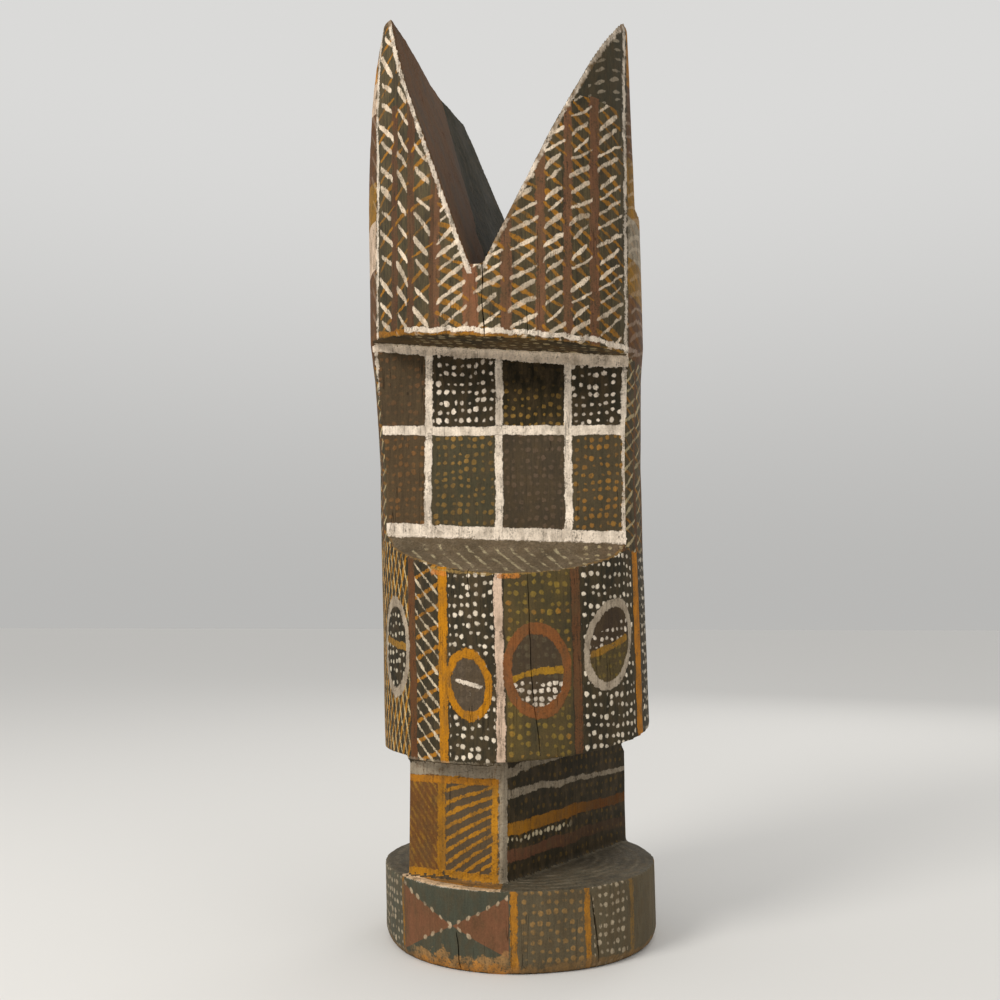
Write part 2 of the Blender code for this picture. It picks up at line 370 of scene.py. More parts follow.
class Field:
    """A number that varies over a surface: a socket of a shader tree, with arithmetic."""

    def __init__(self, tree, socket):
        self.tree = tree
        self.socket = socket

    def math(self, operation, *others, clamp=False):
        node = self.tree.nodes.new("ShaderNodeMath")
        node.operation = operation
        node.use_clamp = clamp
        for slot, value in zip(node.inputs, (self, *others)):
            join(self.tree, value, slot)
        return Field(self.tree, node.outputs[0])

    def __add__(self, other):
        return self.math("ADD", other)

    def __sub__(self, other):
        return self.math("SUBTRACT", other)

    def __rsub__(self, other):
        return self.scaled(-1.0, other)

    def __mul__(self, other):
        return self.math("MULTIPLY", other)

    def __truediv__(self, other):
        return self.math("DIVIDE", other)

    def scaled(self, factor, offset):
        """factor times this plus offset."""
        return self.math("MULTIPLY_ADD", factor, offset)

    def size(self):
        return self.math("ABSOLUTE")

    def floor(self):
        return self.math("FLOOR")

    def fraction(self):
        return self.math("FRACT")

    def apart(self, other):
        """The distance whose two level parts are this and the other."""
        return (self.math("POWER", 2.0) + other.math("POWER", 2.0)).math("SQRT")

    def over(self, level):
        """1 where this is greater than the level, else 0."""
        return self.math("GREATER_THAN", level)

    def under(self, level):
        return self.math("LESS_THAN", level)

    def least(self, other):
        return self.math("MINIMUM", other)

    def most(self, other):
        return self.math("MAXIMUM", other)

    def held(self, factor, offset=0.0):
        """factor times this plus offset, kept between 0 and 1."""
        return self.math("MULTIPLY_ADD", factor, offset, clamp=True)

    def within(self, low, high):
        """1 where this lies between the two, else 0."""
        return self.over(low) * self.under(high)

    def equals(self, number):
        """1 where this is the whole number, else 0."""
        return self.math("COMPARE", float(number), 0.2)


MIX_A, MIX_B, MIX_RESULT = 6, 7, 2  # the colour sockets of a Mix node


class Paint:
    """One zone's material: coordinates in mm, then a ground and coats of pigment laid over it."""

    def __init__(self, name, ground, second, streaks=0.5):
        self.material = bpy.data.materials.new(name)
        self.material.use_nodes = True
        self.tree = self.material.node_tree
        self.shader = self.tree.nodes["Principled BSDF"]
        place = self.node("ShaderNodeTexCoord").outputs["Object"]
        self.place = self.vector("SCALE", place, Scale=1 / MM)
        split = self.node("ShaderNodeSeparateXYZ")
        self.link(self.place, split.inputs[0])
        self.x, self.y, self.h = (Field(self.tree, s) for s in split.outputs)
        self.sway = self.noise(34, detail=1, shift=3.1).scaled(2, -1)
        self.drift = self.noise(34, detail=1, shift=9.7).scaled(2, -1)
        press = self.noise(9, detail=1, shift=5.5)
        self.rag = self.noise(2.4, shift=6.5).scaled(3.4, -3.2) + press * 3.0
        self.grain = self.noise(1.7, detail=3, stretch=(1, 1, 0.09), shift=1.3)
        self.grit = self.noise(1.5, detail=3, shift=7.7)
        cloud = self.noise(26, detail=4, stretch=(1, 1, 0.45), shift=2.2)
        mix = (self.grain - 0.5).scaled(streaks * 2.4, cloud).held(2.0, -0.5)
        self.colour = self.blend(mix, self.flat(ground), self.flat(second))
        self.relief = self.grain * 0.32
        self.cover = Field(self.tree, self.node("ShaderNodeValue").outputs[0])
        self.cover.socket.default_value = 0.0
        self.cloud = cloud
        self.tooth = (self.grit * 0.75 + self.grain * 0.6) + (press * 0.5 - 0.925)

    def node(self, kind):
        return self.tree.nodes.new(kind)

    def link(self, value, slot):
        join(self.tree, value, slot)

    def vector(self, operation, *values, **named):
        """A vector operation; values are sockets or triples."""
        node = self.node("ShaderNodeVectorMath")
        node.operation = operation
        for slot, value in zip(node.inputs, values):
            self.link(value, slot)
        for key, value in named.items():
            node.inputs[key].default_value = value
        return node.outputs["Value"] if operation == "LENGTH" else node.outputs["Vector"]

    def triple(self, *fields):
        """Three fields or numbers as a vector."""
        node = self.node("ShaderNodeCombineXYZ")
        for slot, value in zip(node.inputs, fields):
            self.link(value, slot)
        return node.outputs[0]

    def noise(self, size, detail=2, stretch=(1, 1, 1), shift=0.0):
        """Noise from 0 to 1 with lumps of a size in mm."""
        node = self.node("ShaderNodeTexNoise")
        shifts = (shift, shift * 2, shift * 3)
        place = self.vector("MULTIPLY_ADD", self.place, [s / size for s in stretch], shifts)
        self.link(place, node.inputs["Vector"])
        node.inputs["Scale"].default_value = 1.0
        node.inputs["Detail"].default_value = detail
        node.inputs["Roughness"].default_value = 0.6
        return Field(self.tree, node.outputs["Fac"])

    def patches(self, size, shift, gain, offset, detail=1, stretch=(1, 1, 1)):
        """Soft patches of a size in mm, from 0 to 1; a higher gain gives harder edges."""
        return self.noise(size, detail=detail, stretch=stretch, shift=shift).held(gain, offset)

    def chance(self, *fields):
        """Three random numbers from 0 to 1 for each whole-numbered cell."""
        node = self.node("ShaderNodeTexWhiteNoise")
        self.link(self.triple(*fields), node.inputs["Vector"])
        split = self.node("ShaderNodeSeparateXYZ")
        self.link(node.outputs["Color"], split.inputs[0])
        return [Field(self.tree, s) for s in split.outputs]

    def arc(self):
        """u: the arc from the middle of the front."""
        across = self.x - self.h.scaled(-LEAN, AXIS_X)
        ahead = AXIS_Y - self.y
        return across.math("ARCTAN2", ahead) * LOG_RADIUS

    def curve(self, field, knots):
        """A field bent through knots of value and result."""
        start = knots[0][0]
        span = knots[-1][0] - start
        low = min(result for _, result in knots)
        rise = max(result for _, result in knots) - low
        node = self.node("ShaderNodeFloatCurve")
        points = node.mapping.curves[0].points
        for k, (value, result) in enumerate(knots):
            at = ((value - start) / span, (result - low) / rise)
            if k == 0:
                points[0].location = at
            elif k == len(knots) - 1:
                points[-1].location = at
            else:
                points.new(*at)
        for point in points:
            point.handle_type = "VECTOR"
        node.mapping.update()
        share = field.scaled(1 / span, -start / span)
        self.link(share, node.inputs["Value"])
        return Field(self.tree, node.outputs[0]).scaled(rise, low)

    def flat(self, colour):
        node = self.node("ShaderNodeRGB")
        node.outputs[0].default_value = linear(colour)
        return node.outputs[0]

    def steps(self, field, low, high, bars):
        """A colour that changes in steps: bars are the value each starts at and its colour."""
        node = self.node("ShaderNodeValToRGB")
        node.color_ramp.interpolation = "CONSTANT"
        stops = node.color_ramp.elements
        for k, (start, colour) in enumerate(bars):
            at = min(max((start - low) / (high - low), 0), 1)
            stop = stops[k] if k < 2 else stops.new(at)
            stop.position = at
            stop.color = linear(colour)
        share = field.scaled(1 / (high - low), -low / (high - low))
        self.link(share, node.inputs[0])
        return node.outputs[0]

    def blend(self, share, below, above):
        return self.mix("MIX", share, below, above)

    def mix(self, kind, share, below, above):
        node = self.node("ShaderNodeMix")
        node.data_type = "RGBA"
        node.blend_type = kind
        self.link(share, node.inputs["Factor"])
        self.link(below, node.inputs[MIX_A])
        self.link(above, node.inputs[MIX_B])
        return node.outputs[MIX_RESULT]

    def edge(self, inside, soft=0.7, rag=1.0):
        """A mask from a distance in mm that is positive inside the paint."""
        return self.rag.scaled(rag, inside).held(1 / soft, 0.5)

    def band(self, offset, half, soft=0.7, rag=1.0):
        """A stripe where the offset from its middle is less than half its width."""
        return self.edge(half - offset.size(), soft, rag)

    def lines(self, rows, spacing, half, soft=0.7):
        """A line in the middle of each whole-numbered row; spacing is the row's width in mm."""
        return self.band((rows.fraction() - 0.5) * spacing, half, soft)

    def between(self, field, low, high, soft=0.7, rag=1.0):
        return self.band(field - (low + high) / 2, (high - low) / 2, soft, rag)

    def ring(self, u, v, middle, half_u, half_v, stroke, tilt=0.0):
        """An oval line, and the oval's inside."""
        du = u - middle[0]
        dv = v - middle[1]
        du = dv.scaled(-tilt, du)
        far = (du / half_u).apart(dv / half_v)
        inward = far.scaled(-min(half_u, half_v) * 1.15, min(half_u, half_v) * 1.15)
        line = self.band(inward, stroke / 2)
        return line, self.edge(inward)

    def bar(self, u, v, start, end, half):
        """A straight stroke with round ends."""
        du, dv = end[0] - start[0], end[1] - start[1]
        length = math.hypot(du, dv)
        cu, cv = (start[0] + end[0]) / 2, (start[1] + end[1]) / 2
        du, dv = du / length, dv / length
        pu, pv = u - cu, v - cv
        along = (pv.scaled(dv, pu * du).size() - length / 2).most(0.0)
        far = along.apart(pv.scaled(du, pu * -dv))
        return self.edge(half - far)

    def dots(self, u, v, pitch_u, pitch_v, radius, seed, jitter=0.30, tall=1.0):
        """Rows of finger-made dots, each a little off its place and size."""
        cells = self.vector("MULTIPLY", self.triple(u, v, float(seed)), (1 / pitch_u, 1 / pitch_v, 1))
        chance = self.node("ShaderNodeTexWhiteNoise")
        self.link(self.vector("FLOOR", cells), chance.inputs["Vector"])
        back = -0.5 - jitter / 2
        shaken = self.vector("MULTIPLY_ADD", chance.outputs["Color"], (jitter, jitter, 0), (back, back, 0))
        offset = self.vector("ADD", self.vector("FRACTION", cells), shaken)
        offset = self.vector("MULTIPLY", offset, (pitch_u, pitch_v / tall, 0))
        far = Field(self.tree, self.vector("LENGTH", offset))
        share = Field(self.tree, chance.outputs["Value"])
        size = share.scaled(radius * 0.7, radius * 0.66)
        return self.edge(size - far, soft=0.8, rag=0.8) * share.scaled(0.4, 0.7)

    def strokes(self, column, height, pitch, rise, half, reach, seed, shift=0.0):
        """Short slanting strokes with round ends, stacked in numbered columns about 27 mm wide."""
        number = column.floor()
        across = column.fraction() - 0.5
        start = self.chance(number, float(seed), 0.0)[0]
        rows = ((height - across * rise) / pitch + start) + shift
        first, second, third = self.chance(number, rows.floor(), float(seed))
        off = ((rows.fraction() - 0.5) + (first - 0.5) * 0.34) * pitch
        off = off + (second - 0.5) * across * 9.0
        off = off + (third - 0.5) * (across * across) * 20.0
        thick = third.scaled(0.6, 0.7) * half
        length = second.scaled(0.16, reach - 0.08)
        past = (((across + (third - 0.5) * 0.10).size() - length) * 27.0 + thick).most(0.0)
        far = ((off * off) * 0.72 + past * past).math("SQRT")
        inside = (thick - across.size() * 1.1) - far
        return self.edge(inside, soft=0.8, rag=0.75) * first.scaled(0.45, 0.65)

    def coat(self, mask, pigment, cover=1.0, thickness=0.35, patchy=3.4):
        """Lays a pigment over what is there, thinner where the brush skipped or the paint wore off."""
        wear = self.tooth.held(patchy, 0.5 + cover * 0.7)
        laid = mask * (wear * min(cover, 1.0))
        above = self.flat(pigment) if isinstance(pigment, tuple) else pigment
        self.colour = self.blend(laid, self.colour, above)
        self.relief = laid.scaled(thickness, self.relief)
        self.cover = self.cover.most(laid)

    def finish(self):
        """Shades the coats a little unevenly and joins colour, roughness and relief to the shader."""
        dirt = self.noise(8, detail=4, stretch=(1, 1, 0.5), shift=12.3).held(1.92, -0.81)
        self.colour = self.blend(dirt, self.colour, self.flat(DUST))
        hair = self.noise(9, stretch=(1, 1, 0.03), shift=15.1) - 0.5
        hair = hair.size().held(-150.0, 1.0) * self.cloud.over(0.53)
        shade = (self.grit - 0.5).scaled(0.7, self.cloud.scaled(0.6, 0.72)) + (self.grain - 0.5) * 0.45
        shade = shade * hair.scaled(-0.55, 1.0)
        shaded = self.mix("MULTIPLY", 1.0, self.colour, self.triple(shade, shade, shade))
        self.link(shaded, self.shader.inputs["Base Color"])
        rough = self.cover.scaled(0.16, 0.70) + (self.grit - 0.5) * 0.25
        self.link(rough, self.shader.inputs["Roughness"])
        self.shader.inputs["Specular IOR Level"].default_value = 0.16
        bump = self.node("ShaderNodeBump")
        bump.inputs["Distance"].default_value = MM
        bump.inputs["Strength"].default_value = 0.9
        height = self.grit.scaled(0.22, self.relief) - hair * 0.5
        self.link(height, bump.inputs["Height"])
        self.link(bump.outputs["Normal"], self.shader.inputs["Normal"])
        return self.material


def from_notch(p, x, side):
    """The distance in mm from a side of the notch, positive in the open notch."""
    fall, lean, height, length = side
    return (p.h - height + (x - NOTCH_X) * fall + p.y * lean) / length


# x in mm of the columns' numbers on the crown: bands lie on whole numbers, strokes between them
CROWN_COLUMNS = [(-122, -1.2), (-109, 0), (-90, 1), (-74.5, 2), (-51.6, 3), (-19.7, 4), (11.8, 5)]
CROWN_COLUMNS += [(40.3, 6), (62.7, 7), (84.2, 8), (110, 9), (122, 9.6)]
# How far the white strokes rise across each column, in mm
STROKE_RISES = [(-1.5, -23), (0.5, -23), (1.5, -25), (2.5, -29), (3.5, 26), (4.5, 19), (5.5, 18)]
STROKE_RISES += [(6.5, 16.5), (7.5, 18), (8.5, 29), (9.5, 29)]
BANDS_TOP = 738  # the right prong is bare of red bands above this height


def crown_bands(p, x, column, left, front):
    """Upright red bands, darker on the left prong, and a short broad one under the notch."""
    bands = column - (column + 0.5).floor()
    thin = left.scaled(0.02, 0.165)
    inner = column.within(0.5, 8.5)
    red = p.edge((thin - bands.size()) * 26) * inner
    p.coat(red * p.h.under(BANDS_TOP) * (1 - left), (114, 77, 54), cover=0.85, thickness=0.12)
    p.coat(red * p.h.under(BANDS_TOP) * left, (92, 61, 42), cover=0.8, thickness=0.12)
    p.coat(p.between(x, -26.5, -13.0) * p.h.under(584) * front, RED, 0.95, 0.12)


def crown_strokes(p, column, left, level, plain):
    """Ochre strokes, then white ones that cross them, stacked between the bands."""
    number = column + p.y.over(0) * 20
    pitch = left.scaled(6.6, 13.4)
    faded = p.patches(15, 13.3, 3.0, -0.5)
    ochre = p.strokes(number, level, pitch, left.scaled(34, -19), left.scaled(-0.3, 1.8), 0.40, 11, 0.5)
    p.coat(ochre * faded * plain, (162, 109, 30), 0.9, 0.2)
    slope = p.curve(column.floor() + 0.5, STROKE_RISES)
    white = p.strokes(number, level, pitch, slope, left.scaled(0.6, 1.7), 0.36, 23)
    p.coat(white * plain, (232, 212, 186), cover=0.86, thickness=0.4)


def crown_rim(p, front):
    """A white line over an ochre one along the block's lower edge, on its front."""
    rim = p.h - NICHE_CEILING + (p.x - AXIS_X) * NICHE_TILT + p.y.scaled(-0.08, -4.7)
    wavy = p.noise(16, stretch=(1, 1, 0.2), shift=8.8).scaled(9.0, -4.5) + rim
    p.coat(p.between(wavy, 0.4, 6.0) * front * p.x.under(20), (160, 104, 26), 0.75, 0.2)
    p.coat(p.between(wavy, 3.4, 7.8) * front * p.x.over(-80), CLAY, 0.92, 0.5)
    p.coat(p.between(rim, -2, 2.0) * front, DULL_OCHRE, 0.5, 0.15)


def crown_outline(p, straight, front):
    """White lines along the notch and down both sides of the front."""
    left_face = from_notch(p, straight, NOTCH_LEFT)
    right_face = from_notch(p, p.x, NOTCH_RIGHT)
    p.coat(p.band(left_face + 2.2, 1.9) * p.x.under(-12.0) * p.h.over(578), CLAY, 0.75, 0.5)
    outline = p.band(right_face + 2.2, 2.1) * p.x.over(-10.5)
    broken = p.patches(15, 17.7, 5.0, -2.0, detail=2)
    p.coat(outline, (118, 94, 64), 0.7, 0.2)
    p.coat(outline * broken.most(p.h.over(770) * 0.5), CLAY, 0.8, 0.5)
    p.coat(p.band(p.h - 583.5, 2.2) * p.between(p.x, -13, -5), CLAY, 0.75, 0.4)
    p.coat(p.band(p.sway.scaled(1.5, straight) + 110.0, 1.3) * front, CLAY, 0.8, 0.4)
    p.coat(p.band(p.sway.scaled(1.5, p.x) - 110.5, 1.2) * front, CLAY, 0.75, 0.4)


def crown_sides(p, straight):
    """Bare wood at the tips, and broad level bars down both sides of the block."""
    bare = p.noise(9, detail=3, shift=14.1).scaled(26, -13) + (p.h - 818)
    p.coat(p.edge(bare, 2.0, 1.5), (116, 92, 66), 0.8, -0.2)
    ragged = p.drift.scaled(4, p.h)
    low, high = 520, 840
    bars = [(low, DARK_RED), (600, PINK_CLAY), (645, DULL_OCHRE)]
    bars += [(680, DARK_RED), (742, PINK_CLAY), (770, OCHRE)]
    p.coat(p.edge(-112.0 - straight), p.steps(ragged, low, high, bars), 0.85, 0.2)
    bars = [(low, DARK_RED), (572, DULL_OCHRE), (606, GREY_CLAY)]
    bars += [(645, DULL_OCHRE), (700, DARK_RED), (770, OCHRE)]
    p.coat(p.edge(p.x - 112.5), p.steps(ragged, low, high, bars), 0.8, 0.2)


def crown_paint():
    """Red bands upright on the block, with crossed strokes between them, in white outlines."""
    p = Paint("crown", (52, 47, 34), (82, 72, 48))
    bend = p.h.held(1 / BEND_RUN, -BEND_FOOT / BEND_RUN)
    ahead = p.y.held(-1 / BEND_DEPTH, BEND_BACK / BEND_DEPTH)
    straight = p.x - bend * bend * ahead * p.x.under(-40) * BEND
    front = p.y.under(-40)
    x = p.sway.scaled(2.0, straight)
    h = p.drift.scaled(2.5, p.h)
    level = p.noise(11, detail=1, shift=4.4).scaled(3.6, -1.8) + h
    column = p.curve(x, CROWN_COLUMNS)
    left = column.under(3.0)
    tip = (1 - left) * p.h.over(736)
    p.coat(tip * front, (60, 56, 44), 0.8, 0.05, patchy=1.2)
    crown_bands(p, x, column, left, front)
    crown_strokes(p, column, left, level, 1 - tip)
    dashes = p.dots(x + 3.0, level - p.x * 0.75, 12.5, 9.6, 3.4, 31, jitter=0.34, tall=0.45)
    p.coat(dashes * tip * p.x.over(80) * p.h.under(806) * front, GREY_CLAY, 0.8, 0.2)
    crown_rim(p, front)
    crown_outline(p, straight, front)
    crown_sides(p, straight)
    return p.finish()


def notch_paint(name, pigment, cover):
    """A thin wash on the notch's inner faces, streaked down the wood."""
    p = Paint(name, CHARCOAL, OLIVE, streaks=0.9)
    p.coat(p.cloud.held(2.4, -0.25), pigment, cover, 0.1, patchy=2.4)
    pale = p.patches(7, 6.1, 5.0, -2.9, detail=3, stretch=(1, 1, 0.12))
    p.coat(pale, (112, 92, 68), 0.45, 0.1)
    return p.finish()


def underside_paint():
    """The niche's ceiling: pale dots on charcoal, with a white line where it meets the panel."""
    p = Paint("underside", CHARCOAL, BROWN)
    dots = p.dots(p.sway.scaled(4, p.x), p.drift.scaled(5, p.y), 10, 12, 2.5, 5, jitter=0.5)
    p.coat(dots * p.x.over(-75), CREAM, 0.7)
    p.coat(p.cloud.scaled(2, -0.7), DULL_OCHRE, 0.35, 0.1)
    p.coat(p.edge(p.y + 61.5), (212, 194, 170), 1.0, 0.4)
    return p.finish()


PANEL_LINES = (-67.5, -3.5, 58.5)  # x of the upright white lines between the fields
PANEL_MIDDLE = 454  # height of the level one


def panel_paint():
    """Two rows of four fields, dotted, in a white grid."""
    p = Paint("panel", CHARCOAL, BROWN)
    x = p.sway.scaled(1.6, p.x)
    h = p.drift.scaled(1.6, p.h)
    left, middle, right = PANEL_LINES
    across = p.x.over(left) + p.x.over(middle) + p.x.over(right)
    cell = p.h.under(PANEL_MIDDLE) * 4 + across
    grounds = [(0, (78, 64, 46)), (1, CHARCOAL), (2, (40, 35, 18)), (3, CHARCOAL)]
    grounds += [(4, (82, 66, 46)), (5, (72, 68, 50)), (6, (70, 60, 46)), (7, (74, 66, 48))]
    tones = [(0, (104, 76, 50)), (1, CLAY), (2, (150, 116, 54)), (3, CLAY)]
    tones += [(4, (120, 84, 48)), (5, (142, 110, 58)), (6, (96, 79, 63)), (7, (144, 102, 46))]
    inside = cell + 0.5
    p.coat(p.x.under(500), p.steps(inside, 0, 8, grounds), 0.8, 0.05, patchy=1.0)
    bright = cell.equals(1) + cell.equals(3)
    along = p.sway.scaled(3.0, p.x)
    level = p.drift.scaled(4.0, p.h) - p.x * 0.03
    upper = p.dots(along, level, 6.8, 8.4, 1.65, 9, jitter=0.4) * p.h.over(PANEL_MIDDLE)
    lower = p.dots(along, level, 6.9, 7.7, 1.7, 19, jitter=0.4) * p.h.under(PANEL_MIDDLE)
    faint = p.patches(24, 6.1, 1.9, -0.2, detail=2)
    p.coat(upper.most(lower) * bright.most(faint), p.steps(inside, 0, 8, tones), 1.0, 0.35, patchy=2.6)
    ochre_cells = p.x.over(right) + p.x.within(left, middle) * 0.6
    p.coat(lower * (1 - faint) * ochre_cells, (150, 112, 40), 0.7, 0.2)
    ceiling = (p.x - AXIS_X).scaled(-NICHE_TILT, NICHE_CEILING)
    # painted shadow: the top of the third upper field darkens under the niche's ceiling
    shade = p.edge(p.h - ceiling + 34, soft=14, rag=2) * cell.equals(2)
    p.coat(shade, (26, 22, 12), 0.9, 0.0, patchy=1.0)
    for line in PANEL_LINES:
        p.coat(p.band(x - line, 3.4, rag=0.8), CLAY, 1.1, 0.6)
    p.coat(p.band(x + 111.0 + (p.h - 365) * 0.035, 1.8), CLAY, 0.62, 0.4)
    p.coat(p.band(x - 108.2, 2.6), CLAY, 0.8, 0.4)
    p.coat(p.band(h - p.x.scaled(-0.02, 454.4), 4.2, rag=0.8), CLAY, 1.3, 0.6)
    p.coat(p.band(h - ceiling + p.x.scaled(0.012, 4.6), 4.6, rag=1.1), (226, 208, 186), 1.1, 0.6)
    p.coat(p.band(h - p.x.scaled(-0.045, 361.6), 5.7, rag=0.8), CLAY, 1.1, 0.6)
    return p.finish()


def shoulder_paint():
    """Pale slanting strokes on grey-brown, with a few dots at the right end."""
    p = Paint("shoulder", (88, 76, 58), (112, 97, 77))
    slant = p.sway.scaled(3, p.x) + p.y * 0.6
    row = (slant / 13.0).fraction() - 0.5
    far = (p.y + 92).size()
    broken = p.patches(9, 3.3, 5.0, -1.9)
    mask = p.band(row * 13.0 * 0.87, 1.2) * p.edge(24 - far) * p.between(p.x, -78, 72) * broken
    p.coat(mask, (178, 164, 130), 0.8, 0.25)
    p.coat(p.dots(p.x, p.y, 10, 10, 1.9, 3) * p.x.over(70), CREAM, 0.8, 0.3)
    p.coat(p.x.over(86) * p.cloud, DARK_RED, 0.5, 0.1)
    rim = (p.x - AXIS_X + LEAN * DRUM_TOP).apart(p.y)
    p.coat(p.edge(rim - 120.5), DULL_OCHRE, 0.5, 0.2)
    p.coat(p.edge(p.y + 60.2), CLAY, 0.8, 0.4)
    return p.finish()


def post_paint():
    """The log between drum and crown: upright red bands and slanting strokes, worn towards the back."""
    p = Paint("post", CHARCOAL, OLIVE)
    u = p.sway.scaled(2, p.arc())
    column = (u / 27.0) + 0.32
    band = column - (column + 0.5).floor()
    p.coat(p.edge((0.12 - band.size()) * 27), DARK_RED, 0.8, 0.1)
    h = p.drift.scaled(2.5, p.h)
    worn = p.y.held(-0.006, 0.62)
    p.coat(p.strokes(column, h, 13.5, -11, 1.2, 0.42, 17, 0.5) * worn, OCHRE, 0.6, 0.2)
    p.coat(p.strokes(column, h, 13.5, 17, 1.5, 0.42, 29) * worn, CREAM, 0.9, 0.35)
    return p.finish()


def drum_fields(p, u, h, dots):
    """The dotted, hatched and crossed fields between the drum's upright bands."""
    olive = p.blend(p.cloud.held(3.0, -1.0), p.flat((66, 60, 42)), p.flat((92, 76, 40)))
    p.coat(u.within(6.2, 63.4), olive, 0.95, 0.05, patchy=1.6)
    white_zone = u.within(-43, -3).most(u.within(72.8, 137.4)).most(u.over(158)).most(u.under(-200))
    p.coat(dots * white_zone, (228, 214, 192), 1.0, 0.4, patchy=2.6)
    small = p.dots(u, h, 7.0, 7.8, 1.7, 14, jitter=0.4) * u.within(7, 63)
    p.coat(small, (134, 110, 48), 0.8, 0.2)
    p.coat(small * p.patches(26, 21.3, 6.0, -3.2), (166, 110, 42), 0.95, 0.2)
    hatch = u.within(-190, -88)
    rising = (h / 2.6 - u) / 9.0
    p.coat(p.lines(rising, 9.0, 1.7) * hatch, (168, 114, 24), 0.9, 0.3)
    falling = (h / 3.4 + u) / 8.0
    p.coat(p.lines(falling, 8.0, 0.85) * hatch, (198, 176, 130), 0.8, 0.3)
    cross = u.within(-79, -53)
    rising = (h - u * 0.45) / 17.4
    p.coat(p.lines(rising, 15.8, 1.6) * cross, (172, 114, 28), 0.85, 0.3)
    falling = (h + u * 1.05) / 13.6
    p.coat(p.lines(falling, 9.4, 0.95) * cross, (214, 196, 166), 0.85, 0.35)


def drum_bands(p, u, arc):
    """The upright bands between the fields, two of them on each side of the drum's back."""
    for low, high, pigment, cover in (
        (-87.6, -79.2, (98, 62, 35), 0.95),
        (-53.2, -44.6, OCHRE, 1.2),
        (64.2, 72.0, (104, 68, 42), 0.8),
        (141.0, 154.0, (176, 112, 26), 1.0),
        (-197, -189, RED, 0.9),
        (-2.3, 4.9, (212, 184, 160), 1.2),
    ):
        p.coat(p.between(u, low, high, rag=0.8), pigment, cover, 0.35 if pigment is not RED else 0.15)
    half_turn = math.pi * LOG_RADIUS
    back = (arc - half_turn).size().least((arc + half_turn).size())
    p.coat(p.between(back, 58, 68), RED, 0.9, 0.15)
    p.coat(p.band(back - 24, 5), OCHRE, 0.8, 0.3)


def left_ring(p, u, h, dots):
    """A tall grey ring on the hatched field, with white dots and an ochre bar."""
    line, inside = p.ring(u, h, (-112.5, 262), 22.5, 40, 6.0)
    p.coat(inside, CHARCOAL, 1.3, 0.0)
    p.coat(dots * inside, (212, 200, 176), 0.9, 0.3)
    p.coat(p.bar(u, h, (-128, 268), (-93, 261), 3.0), DULL_OCHRE, 1.0, 0.3)
    p.coat(line, PALE_GREY, 1.15, 0.45)


def yellow_ring(p, u, h):
    """A small yellow ring beside the yellow band, with a white bar."""
    line, inside = p.ring(u, h, (-26.0, 232), 17.5, 26, 6.4, tilt=-0.06)
    p.coat(inside, (80, 68, 54), 1.4, 0.0)
    p.coat(p.dots(u, h, 7.0, 8.0, 2.0, 26, jitter=0.4) * inside, (98, 84, 68), 0.6, 0.1)
    p.coat(p.bar(u, h, (-36, 235.5), (-15, 230.5), 1.7), CLAY, 1.0, 0.4)
    p.coat(line, OCHRE, 1.25, 0.45)


def red_ring(p, u, h):
    """A red ring with white dots under a bent ochre bar."""
    line, inside = p.ring(u, h, (32.8, 244), 25.6, 35.0, 8.6)
    p.coat(inside, (70, 58, 44), 1.3, 0.0)
    p.coat(p.dots(u, h, 7.4, 7.4, 1.7, 16, jitter=0.4) * inside, (92, 82, 62), 0.6, 0.1)
    p.coat(p.dots(u, h, 5.6, 6.4, 1.8, 6, jitter=0.5) * inside * h.under(236), CLAY, 0.9, 0.45)
    bent = h + (u - 33) * (u - 33) * 0.006
    p.coat(p.bar(u, bent, (13, 240), (53, 247), 2.9), (158, 116, 32), 1.15, 0.4)
    p.coat(line, (126, 78, 42), 1.2, 0.3)


def right_ring(p, u, h):
    """A leaning grey ring, with white dots above its ochre bar and olive below."""
    line, inside = p.ring(u, h, (104.5, 265), 26.5, 35.5, 6.8, tilt=0.2)
    p.coat(inside, (62, 50, 38), 1.3, 0.0)
    above_bar = h - (u - 104) * 0.35 - 263
    white = p.dots(u, h, 6.4, 7.4, 1.5, 8) * inside * above_bar.within(0, 17)
    p.coat(white, CLAY, 0.85, 0.3)
    p.coat(inside * above_bar.under(0), OLIVE, 0.9, 0.0)
    faint = p.dots(u, h, 6.6, 7.6, 1.6, 36, jitter=0.4) * inside * above_bar.under(0)
    p.coat(faint, (118, 98, 44), 0.7, 0.1)
    p.coat(p.bar(u, h, (84, 256), (124, 270), 2.9), DULL_OCHRE, 1.1, 0.4)
    p.coat(line, PALE_GREY, 1.15, 0.45)


def drum_paint():
    """Upright fields round the drum, with oval rings that hold bars and dots."""
    p = Paint("drum", CHARCOAL, (60, 52, 34))
    arc = p.arc()
    u = p.sway.scaled(1.8, arc)
    h = p.drift.scaled(1.8, p.h)
    dots = p.dots(u, h, 6.7, 8.4, 1.6, 4, jitter=0.42)
    drum_fields(p, u, h, dots)
    drum_bands(p, u, arc)
    left_ring(p, u, h, dots)
    yellow_ring(p, u, h)
    red_ring(p, u, h)
    right_ring(p, u, h)
    rim = p.between(p.h - p.y.scaled(0.42, 375.4), -1.8, 0.6)
    p.coat(rim * u.within(-60, 62), (164, 132, 72), 0.7, 0.2)
    p.coat(p.bar(u, h, (2, 322), (18, 322), 2.4), ORANGE, 0.8, 0.3)
    p.coat(p.bar(u, h, (-57, 326), (-47, 325), 2.4), ORANGE, 0.8, 0.3)
    p.coat(p.edge(168.6 - p.h) * p.x.under(4), GREY_CLAY, 0.5, 0.2)
    return p.finish()


